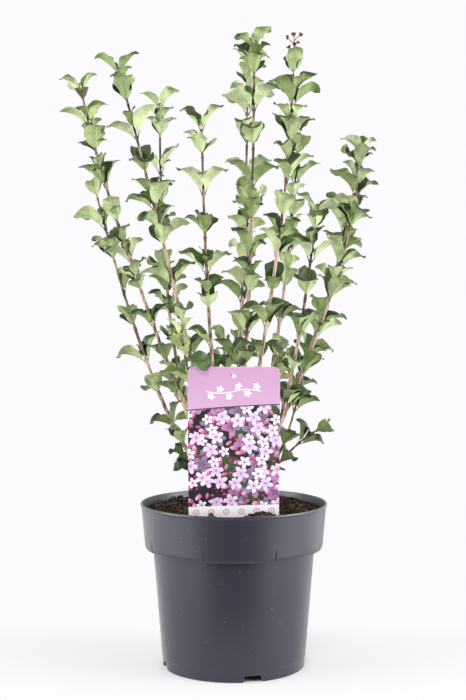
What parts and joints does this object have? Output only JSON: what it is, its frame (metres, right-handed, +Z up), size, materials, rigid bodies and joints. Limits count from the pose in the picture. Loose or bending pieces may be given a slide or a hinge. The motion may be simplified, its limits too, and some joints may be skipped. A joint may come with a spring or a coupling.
{
  "type": "potted lilac bush",
  "caption": "Young lilac bush in a round nursery pot: upright shoots with pairs of folded leaves rise from a short stool, behind a plain plant label that leans out of the soil.",
  "frame": {"origin": "on the ground, under the middle of the whole plant's footprint; the pot's own axis stands 15 mm towards +X and 6 mm towards -Y of it", "axes": "+Z up, the plant's longest extent; -Y towards the viewer of the picture, the side that the label faces; +X to that viewer's right"},
  "size_m": [0.3249, 0.2913, 0.6486],
  "materials": {
    "pot_plastic": "satin moulded plastic, dark blue-grey",
    "peat": "crumbly moist peat, dark brown",
    "card": "printed semi-gloss plastic",
    "white_plastic": "white semi-gloss plastic",
    "bark": "smooth tan bark with dark shade",
    "leaf": "green leaves, pale beneath and glossy above, on tan twigs"
  },
  "bodies": {
    "root": {"pot": "pot_plastic", "soil": "peat", "label_card": "card", "label_stake": "white_plastic", "stool": "bark", "limb_tall_left": "bark", "limb_mid_left": "bark", "limb_tall_front_left": "bark", "limb_tall_back_left": "bark", "limb_front_centre": "bark", "limb_back_centre": "bark", "limb_tallest_centre": "bark", "limb_flowering_right": "bark", "limb_back_right": "bark", "limb_front_right": "bark", "limb_inner_right": "bark", "limb_tall_right": "bark", "shoot_tall_left": "leaf", "shoot_mid_left": "leaf", "shoot_tall_front_left": "leaf", "shoot_tall_back_left": "leaf", "shoot_front_centre": "leaf", "shoot_back_centre": "leaf", "shoot_tallest_centre": "leaf", "shoot_flowering_right": "leaf", "shoot_back_right": "leaf", "shoot_front_right": "leaf", "shoot_inner_right": "leaf", "shoot_tall_right": "leaf", "shoot_young_front": "leaf", "shoot_low_right": "leaf", "shoot_low_front_left": "leaf", "shoot_short_left": "leaf", "shoot_short_back_left": "leaf", "shoot_short_front": "leaf", "shoot_short_back": "leaf", "shoot_short_right": "leaf", "shoot_short_front_right": "leaf", "shoot_low_left": "leaf"}
  },
  "joints": []
}
